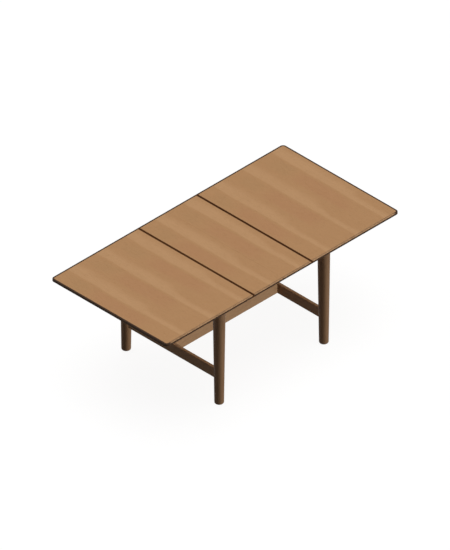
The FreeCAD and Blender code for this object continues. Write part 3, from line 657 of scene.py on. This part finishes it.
def eased_piece(node, width, steps, shortest):
    """Replace a node by its copy with rounded edges."""
    shape = merged_copy(node)
    ease(shape, arrises(shape, shortest), width, steps)
    dress(shape, node, f"{node}_eased")


def islands(shape):
    """Separate solids of a shape, each as its list of vertices, in the order of the mesh."""
    left = set(shape.verts)
    found = []
    for first in shape.verts:
        if first not in left:
            continue
        left.remove(first)
        group = [first]
        to_follow = [first]
        while to_follow:
            vertex = to_follow.pop()
            for edge in vertex.link_edges:
                other = edge.other_vert(vertex)
                if other in left:
                    left.remove(other)
                    group.append(other)
                    to_follow.append(other)
        found.append(group)
    return found


# Driver recess of a screw: the flat round it and its reach as shares of the head's radius, its depth as a
# share of the head's height, how far its walls draw in, and half the angle of an arm of a cross
RECESS_FLAT = 0.62
RECESS_REACH = 0.45
RECESS_DEPTH = 0.55
RECESS_TAPER = 0.72
CROSS_ARM_HALF = math.radians(15.0)

# Points along a domed head, as shares of its radius and of its dome's height, and the blunt end of a screw
# as a share of its shank
DOME_POINTS = ((0.86, 0.30), (0.97, 0.75), (1.0, 1.20))
POINT_END = 0.35

# Heights of the domes as shares of the heads' heights
ROUND_HEAD = 0.75
FLAT_HEAD = 0.25
PIVOT_HEAD = 0.45


class ScrewPlace:
    """Where a plain screw of a node stands, measured on its solid; its head is at the bottom."""

    def __init__(self, group):
        points = [vertex.co for vertex in group]
        self.low = min(point.z for point in points)
        self.tip = max(point.z for point in points)
        self.x = sum(point.x for point in points) / len(points)
        self.y = sum(point.y for point in points) / len(points)
        inside = [point.z for point in points if self.low + SAME_LEVEL < point.z < self.tip - SAME_LEVEL]
        self.seat = min(inside)
        self.head = max(self.reach(point) for point in points)
        self.shank = max(self.reach(point) for point in points if point.z > self.tip - SAME_LEVEL)

    def reach(self, point):
        """Distance of a point from the screw's axis."""
        return math.hypot(point.x - self.x, point.y - self.y)


def screw_places(node):
    """Places of all the screws of a node."""
    shape = joined_copy(node)
    places = [ScrewPlace(group) for group in islands(shape)]
    shape.free()
    return places


def cross_reach(angle):
    """How far a cross with arms of unit length reaches in a direction."""
    aside = abs((angle + math.pi / 4) % (math.pi / 2) - math.pi / 4)
    if aside < CROSS_ARM_HALF + SAME_ANGLE:
        return 1.0 / math.cos(aside)
    return math.tan(CROSS_ARM_HALF) / math.sin(aside)


def hexagon_reach(angle):
    """How far a six-sided hole of unit radius reaches in a direction."""
    aside = angle % (math.pi / 3) - math.pi / 6
    return math.cos(math.pi / 6) / math.cos(aside)


def grown_ring(shape, edges):
    """Extrude a ring of edges; gives back the edges and the vertices of the new ring."""
    grown = bmesh.ops.extrude_edge_only(shape, edges=edges)["geom"]
    new_edges = [item for item in grown if isinstance(item, bmesh.types.BMEdge)]
    new_verts = [item for item in grown if isinstance(item, bmesh.types.BMVert)]
    return new_edges, new_verts


def sink_recess(shape, edges, reach, size, depth):
    """Close a ring with a driver recess: its outline, tapering walls and a floor."""
    edges, verts = grown_ring(shape, edges)
    for vertex in verts:
        angle = math.atan2(vertex.co.y, vertex.co.x)
        vertex.co = Vector((math.cos(angle), math.sin(angle), 0.0)) * (reach(angle) * size)
    edges, verts = grown_ring(shape, edges)
    bmesh.ops.scale(shape, vec=(RECESS_TAPER, RECESS_TAPER, 1.0), verts=verts)
    bmesh.ops.translate(shape, vec=(0.0, 0.0, depth), verts=verts)
    bmesh.ops.edgeloop_fill(shape, edges=edges)


def turned_screw(place, reach, turning, dome):
    """A screw, head down: driver recess, domed head, shank and a short point."""
    shape = bmesh.new()
    tall = place.seat - place.low
    long = place.tip - place.low
    radius = place.head * RECESS_FLAT
    height = 0.0
    bmesh.ops.create_circle(shape, cap_ends=False, segments=turning, radius=radius)
    edges = list(shape.edges)
    sink_recess(shape, edges, reach, place.head * RECESS_REACH, tall * RECESS_DEPTH)
    profile = [(place.head * wide, tall * dome * high) for wide, high in DOME_POINTS]
    profile += [
        (place.head, tall),
        (place.shank, tall),
        (place.shank, long - place.shank),
        (place.shank * POINT_END, long),
    ]
    for wider, higher in profile:
        edges, verts = grown_ring(shape, edges)
        bmesh.ops.scale(shape, vec=(wider / radius, wider / radius, 1.0), verts=verts)
        bmesh.ops.translate(shape, vec=(0.0, 0.0, higher - height), verts=verts)
        radius = wider
        height = higher
    bmesh.ops.edgeloop_fill(shape, edges=edges)
    bmesh.ops.translate(shape, vec=(place.x, place.y, place.low), verts=shape.verts)
    return shape


def screw_piece(node, reach, dome):
    """Replace a node's plain screws by turned ones."""
    turning = bpy.context.scene.leaf_table_edges.turning
    whole = bmesh.new()
    part = bpy.data.meshes.new("one_screw")
    for place in screw_places(node):
        shape = turned_screw(place, reach, turning, dome)
        shape.to_mesh(part)
        shape.free()
        whole.from_mesh(part)
    bpy.data.meshes.remove(part)
    dress(whole, node, f"{node}_turned")


# Operators, one for each group of like pieces


class LEAFTABLE_OT_boards(bpy.types.Operator):
    """Give the end tops and the leaf halves their banded wood."""

    bl_idname = "leaf_table.boards"
    bl_label = "Boards"

    def execute(self, context):
        for side in SIDES:
            for node in (f"end_top_{side}", f"leaf_half_{side}"):
                frame["nodes"][node].material_slots[0].material = finish_for(node)
        return {"FINISHED"}


class LEAFTABLE_OT_edge_strips(bpy.types.Operator):
    """Round over the rim of the table and ease the other free edges of the strips."""

    bl_idname = "leaf_table.edge_strips"
    bl_label = "Edge strips"

    def execute(self, context):
        for side in SIDES:
            for face in FACES:
                strip_piece(f"lipping_{face}_{side}", f"end_top_{side}", butts=True)
                strip_piece(f"leaf_lipping_{face}_{side}", f"leaf_half_{side}", butts=True)
            strip_piece(f"lipping_end_{side}", f"end_top_{side}", butts=False)
            strip_piece(f"lipping_seam_{side}", f"end_top_{side}", butts=False)
            strip_piece(f"leaf_lipping_seam_{side}", f"leaf_half_{side}", butts=False)
        return {"FINISHED"}


# Distance from the table's middle, in metres, within which the end of a strip lies at the fold
FOLD_REACH = 0.01

# Least part of an end's normal that points along the table
END_NORMAL = 0.5


def strip_piece(node, board, butts):
    """Replace a strip by its copy with rounded free edges; its glued sides stay sharp."""
    sizes = bpy.context.scene.leaf_table_edges
    low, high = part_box(board)
    middle = (low + high) / 2
    shape = merged_copy(node)
    rim = [edge for edge in free_edges(shape, middle, butts) if on_table_rim(edge, sizes.corner)]
    if rim:
        ease(shape, rim, sizes.rim, sizes.steps * 2)
        shape.normal_update()
    ease(shape, free_edges(shape, middle, butts), sizes.strip, sizes.steps)
    # The rounding of a bent rim can reach a few thousandths of a millimetre past the table's outline
    far = CAD_BOX[1]
    for vertex in shape.verts:
        vertex.co.y = max(-far.y, min(vertex.co.y, far.y))
        vertex.co.z = min(vertex.co.z, far.z)
    dress(shape, node, f"{node}_eased")


def free_edges(shape, middle, butts):
    """Sharp edges of a strip that no glued side touches."""
    found = []
    for edge in arrises(shape):
        if not any(glued(face, middle, butts) for face in edge.link_faces):
            found.append(edge)
    return found


def glued(face, middle, butts):
    """Whether a side of a strip lies against its board, or is an end that butts against another strip."""
    centre = face.calc_center_median()
    inward = (middle - centre).dot(face.normal) > SAME_LINE
    at_fold = abs(centre.x) < FOLD_REACH
    return inward or (butts and not at_fold and abs(face.normal.x) > END_NORMAL)


def on_table_rim(edge, corner):
    """Whether an edge runs along the top of the table's outline, corners included."""
    reach = CAD_BOX[1]
    for vertex in edge.verts:
        past_x = max(abs(vertex.co.x) - (reach.x - corner), 0.0)
        past_y = max(abs(vertex.co.y) - (reach.y - corner), 0.0)
        on_outline = abs(math.hypot(past_x, past_y) - corner) <= SAME_LINE
        if not on_outline or vertex.co.z < reach.z - SAME_LEVEL:
            return False
    return True


class LEAFTABLE_OT_legs(bpy.types.Operator):
    """Round the top rim of the turned legs."""

    bl_idname = "leaf_table.legs"
    bl_label = "Legs"

    def execute(self, context):
        sizes = context.scene.leaf_table_edges
        for side in SIDES:
            for face in FACES:
                node = f"leg_{face}_{side}"
                low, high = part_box(node)
                middle = (low + high) / 2
                reach = (high.x - low.x) / 2
                shape = merged_copy(node)
                rim = [edge for edge in arrises(shape) if on_rim(edge, middle, reach, high.z)]
                ease(shape, rim, sizes.leg, sizes.steps)
                dress(shape, node, f"{node}_eased")
        return {"FINISHED"}


# Share of a leg's radius outside which its rim lies
RIM_SHARE = 0.95


def on_rim(edge, middle, reach, level):
    """Whether an edge lies on the outer circle of a leg at a level."""
    for vertex in edge.verts:
        out = math.hypot(vertex.co.x - middle.x, vertex.co.y - middle.y)
        if vertex.co.z < level - SAME_LEVEL or out < reach * RIM_SHARE:
            return False
    return True


class LEAFTABLE_OT_stretchers(bpy.types.Operator):
    """Round the long edges of the low stretchers."""

    bl_idname = "leaf_table.stretchers"
    bl_label = "Stretchers"

    def execute(self, context):
        sizes = context.scene.leaf_table_edges
        for node in ("centre_stretcher", "end_stretcher_left", "end_stretcher_right"):
            eased_piece(node, sizes.stretcher, sizes.steps, LONG_EDGES)
        return {"FINISHED"}


class LEAFTABLE_OT_upper_frame(bpy.types.Operator):
    """Round the edges of the cross rails and of the guides on them."""

    bl_idname = "leaf_table.upper_frame"
    bl_label = "Upper frame"

    def execute(self, context):
        sizes = context.scene.leaf_table_edges
        for side in SIDES:
            eased_piece(f"cross_rail_{side}", sizes.rail, sizes.steps, LONG_EDGES)
            for face in FACES:
                eased_piece(f"guide_rail_{face}_{side}", sizes.guide, sizes.steps, RAIL_EDGES)
        return {"FINISHED"}


class LEAFTABLE_OT_runners(bpy.types.Operator):
    """Round the edges of the dovetail runners."""

    bl_idname = "leaf_table.runners"
    bl_label = "Runners"

    def execute(self, context):
        sizes = context.scene.leaf_table_edges
        for side in SIDES:
            for face in FACES:
                eased_piece(f"runner_{face}_{side}", sizes.runner, sizes.steps, RAIL_EDGES)
        return {"FINISHED"}


class LEAFTABLE_OT_dowels(bpy.types.Operator):
    """Chamfer the dowels and the stop pins."""

    bl_idname = "leaf_table.dowels"
    bl_label = "Dowels and stops"

    def execute(self, context):
        sizes = context.scene.leaf_table_edges
        for node in ("stretcher_dowels", "cross_rail_dowels", "travel_stops"):
            eased_piece(node, sizes.dowel, sizes.steps, ALL_EDGES)
        return {"FINISHED"}


class LEAFTABLE_OT_glides(bpy.types.Operator):
    """Round the nylon discs under the feet and on the legs."""

    bl_idname = "leaf_table.glides"
    bl_label = "Glides"

    def execute(self, context):
        sizes = context.scene.leaf_table_edges
        for node in ("foot_glides", "leg_top_glides"):
            eased_piece(node, sizes.glide, sizes.steps, GLIDE_EDGES)
        return {"FINISHED"}


class LEAFTABLE_OT_screws(bpy.types.Operator):
    """Turn the screws of guides, runners, hinges and bearers."""

    bl_idname = "leaf_table.screws"
    bl_label = "Screws"

    def execute(self, context):
        screw_piece("guide_screws", cross_reach, ROUND_HEAD)
        for side in SIDES:
            screw_piece(f"runner_screws_{side}", cross_reach, ROUND_HEAD)
        for node in ("seam_hinge_screws_top", "seam_hinge_screws_leaf"):
            screw_piece(node, cross_reach, FLAT_HEAD)
        screw_piece("bearer_pivots", hexagon_reach, PIVOT_HEAD)
        return {"FINISHED"}


class LEAFTABLE_OT_hinges(bpy.types.Operator):
    """Round the hinge plates, pins and fold barrels."""

    bl_idname = "leaf_table.hinges"
    bl_label = "Hinges"

    def execute(self, context):
        sizes = context.scene.leaf_table_edges
        for node in ("seam_hinge_plates_top", "seam_hinge_plates_leaf"):
            eased_piece(node, sizes.plate, PLATE_STEPS, ALL_EDGES)
        for node in ("seam_hinge_pins", "fold_barrels_left", "fold_barrels_right"):
            eased_piece(node, sizes.dowel / 2, sizes.steps, ALL_EDGES)
        return {"FINISHED"}


class LEAFTABLE_OT_bearers(bpy.types.Operator):
    """Round the edges of the two leaf bearers."""

    bl_idname = "leaf_table.bearers"
    bl_label = "Bearers"

    def execute(self, context):
        sizes = context.scene.leaf_table_edges
        for face in FACES:
            eased_piece(f"leaf_bearer_{face}", sizes.bearer, sizes.steps, BEARER_EDGES)
        return {"FINISHED"}


# Directions towards the lamps and their spreads in degrees
FRONT_LAMP = (Vector((0.539, -0.770, 0.342)), 30.0)
BOUNCE_LAMP = (Vector((0.500, 0.500, -0.707)), 10.0)
TOP_LAMP = (Vector((0.0, 0.0, 1.0)), 60.0)

# Distances of the studio in metres
LAMP_DISTANCE = 4.0
CAMERA_DISTANCE = 8.0
CAMERA_REACH = 60.0
FLOOR_HALF = 14.0
FLOOR_DROP = 0.0002

# Tint of the floor's faint clouds
FLOOR_CLOUD = (0.9, 0.9, 0.9)


class LEAFTABLE_OT_stage(bpy.types.Operator):
    """Make the floor, the lamps, the sky and the camera."""

    bl_idname = "leaf_table.stage"
    bl_label = "Stage"

    def execute(self, context):
        studio = context.scene.leaf_table_studio
        make_floor(context.scene.leaf_table_finishes.floor, studio.white)
        make_sky(studio.sky)
        front = make_lamp("front_lamp", studio.front, *FRONT_LAMP)
        bounce = make_lamp("floor_bounce", studio.bounce, *BOUNCE_LAMP)
        for fill in (front, bounce):
            fill.data.use_shadow = False
            fill.visible_glossy = False
        make_lamp("top_lamp", studio.above, *TOP_LAMP)
        make_camera(studio)
        context.scene.view_settings.view_transform = "Standard"
        return {"FINISHED"}


def make_floor(paint, white):
    """Pale floor that is seen from above only and keeps the table's shadow."""
    shape = bmesh.new()
    bmesh.ops.create_grid(shape, x_segments=1, y_segments=1, size=FLOOR_HALF)
    bmesh.ops.translate(shape, vec=(0.0, 0.0, -FLOOR_DROP), verts=shape.verts)
    mesh = bpy.data.meshes.new("studio_floor")
    shape.to_mesh(mesh)
    shape.free()
    floor = bpy.data.objects.new("studio_floor", mesh)
    bpy.context.scene.collection.objects.link(floor)
    finish = Finish("studio_floor", {"Roughness": 0.9, "Specular IOR Level": 0.0})
    grain = finish.place()
    cloud = finish.noise(grain, (0.9, 0.9, 0.9), 2.0)
    tone = finish.blend(cloud * 0.06, paint, FLOOR_CLOUD, "MULTIPLY")
    finish.surface(Base_Color=tone)
    seen = seen_rays(finish)
    glow = finish.node("ShaderNodeEmission", {}, {"Color": WHITE, "Strength": seen * white})
    lit = Signal(finish, finish.shader.outputs["BSDF"])
    both = finish.node("ShaderNodeAddShader", {}, {0: lit, 1: glow})
    under = finish.node("ShaderNodeNewGeometry", {}, {}, "Backfacing")
    clear = finish.node("ShaderNodeBsdfTransparent", {}, {})
    sided = finish.node("ShaderNodeMixShader", {}, {0: under, 1: both, 2: clear})
    finish.feed(finish.end.inputs["Surface"], sided)
    mesh.materials.append(finish.material)


def seen_rays(finish):
    """1 for rays that the camera sends, straight, by gloss or by transmission, and 0 for others."""
    camera = finish.node("ShaderNodeLightPath", {}, {}, "Is Camera Ray")
    glossy = finish.node("ShaderNodeLightPath", {}, {}, "Is Glossy Ray")
    through = finish.node("ShaderNodeLightPath", {}, {}, "Is Transmission Ray")
    return finish.maths("MAXIMUM", finish.maths("MAXIMUM", camera, glossy), through)


def make_sky(level):
    """Even, weak light all round that looks white to the camera."""
    world = bpy.data.worlds.new("studio_sky")
    world.use_nodes = True
    sky = NodeTree(world.node_tree)
    strength = seen_rays(sky) * (1.0 - level) + level
    light = sky.node("ShaderNodeBackground", {}, {"Color": WHITE, "Strength": strength})
    end = sky.tree.nodes.new("ShaderNodeOutputWorld")
    sky.feed(end.inputs["Surface"], light)
    bpy.context.scene.world = world


def make_lamp(name, level, towards, spread):
    """Soft distant lamp; at level 1 a surface that faces it shows its colour as written."""
    data = bpy.data.lights.new(name, "SUN")
    data.energy = math.pi * level
    data.angle = math.radians(spread)
    lamp = bpy.data.objects.new(name, data)
    lamp.rotation_mode = "QUATERNION"
    lamp.rotation_quaternion = (-towards).to_track_quat("-Z", "Y")
    lamp.location = towards * LAMP_DISTANCE
    bpy.context.scene.collection.objects.link(lamp)
    return lamp


def make_camera(studio):
    """Parallel camera at equal angles to the three axes, from the front left and above."""
    data = bpy.data.cameras.new("camera")
    data.type = "ORTHO"
    data.ortho_scale = studio.view_height
    data.clip_end = CAMERA_REACH
    camera = bpy.data.objects.new("camera", data)
    forward = Vector((1.0, 1.0, -1.0)).normalized()
    up = Vector((1.0, 1.0, 2.0)).normalized()
    aim = Vector((0.0, 0.0, CAD_BOX[1].z)) - up * studio.view_drop
    camera.rotation_mode = "QUATERNION"
    camera.rotation_quaternion = forward.to_track_quat("-Z", "Y")
    camera.location = aim - forward * CAMERA_DISTANCE
    bpy.context.scene.collection.objects.link(camera)
    bpy.context.scene.camera = camera


class LEAFTABLE_PT_panel(bpy.types.Panel):
    """Sizes, colours and steps of the table."""

    bl_idname = "LEAFTABLE_PT_panel"
    bl_label = "Leaf table"
    bl_space_type = "VIEW_3D"
    bl_region_type = "UI"
    bl_category = "Leaf table"

    def draw(self, context):
        for group in (
            context.scene.leaf_table_edges,
            context.scene.leaf_table_finishes,
            context.scene.leaf_table_studio,
        ):
            column = self.layout.column(align=True)
            for name in group.__annotations__:
                column.prop(group, name)
        for operator in OPERATORS:
            self.layout.operator(operator.bl_idname)


OPERATORS = (
    LEAFTABLE_OT_stage,
    LEAFTABLE_OT_boards,
    LEAFTABLE_OT_edge_strips,
    LEAFTABLE_OT_legs,
    LEAFTABLE_OT_stretchers,
    LEAFTABLE_OT_upper_frame,
    LEAFTABLE_OT_runners,
    LEAFTABLE_OT_dowels,
    LEAFTABLE_OT_glides,
    LEAFTABLE_OT_screws,
    LEAFTABLE_OT_hinges,
    LEAFTABLE_OT_bearers,
)
GROUPS = {
    "leaf_table_edges": LeafTableEdges,
    "leaf_table_finishes": LeafTableFinishes,
    "leaf_table_studio": LeafTableStudio,
}


def register():
    for group in GROUPS.values():
        bpy.utils.register_class(group)
    for operator in OPERATORS:
        bpy.utils.register_class(operator)
    bpy.utils.register_class(LEAFTABLE_PT_panel)
    for name, group in GROUPS.items():
        setattr(bpy.types.Scene, name, PointerProperty(type=group))


def unregister():
    for name in GROUPS:
        delattr(bpy.types.Scene, name)
    bpy.utils.unregister_class(LEAFTABLE_PT_panel)
    for operator in reversed(OPERATORS):
        bpy.utils.unregister_class(operator)
    for group in reversed(list(GROUPS.values())):
        bpy.utils.unregister_class(group)


def main():
    register()
    bpy.ops.leaf_table.stage()
    bpy.ops.leaf_table.boards()
    bpy.ops.leaf_table.edge_strips()
    bpy.ops.leaf_table.legs()
    bpy.ops.leaf_table.stretchers()
    bpy.ops.leaf_table.upper_frame()
    bpy.ops.leaf_table.runners()
    bpy.ops.leaf_table.dowels()
    bpy.ops.leaf_table.glides()
    bpy.ops.leaf_table.screws()
    bpy.ops.leaf_table.hinges()
    bpy.ops.leaf_table.bearers()


if __name__ == "__main__":
    main()
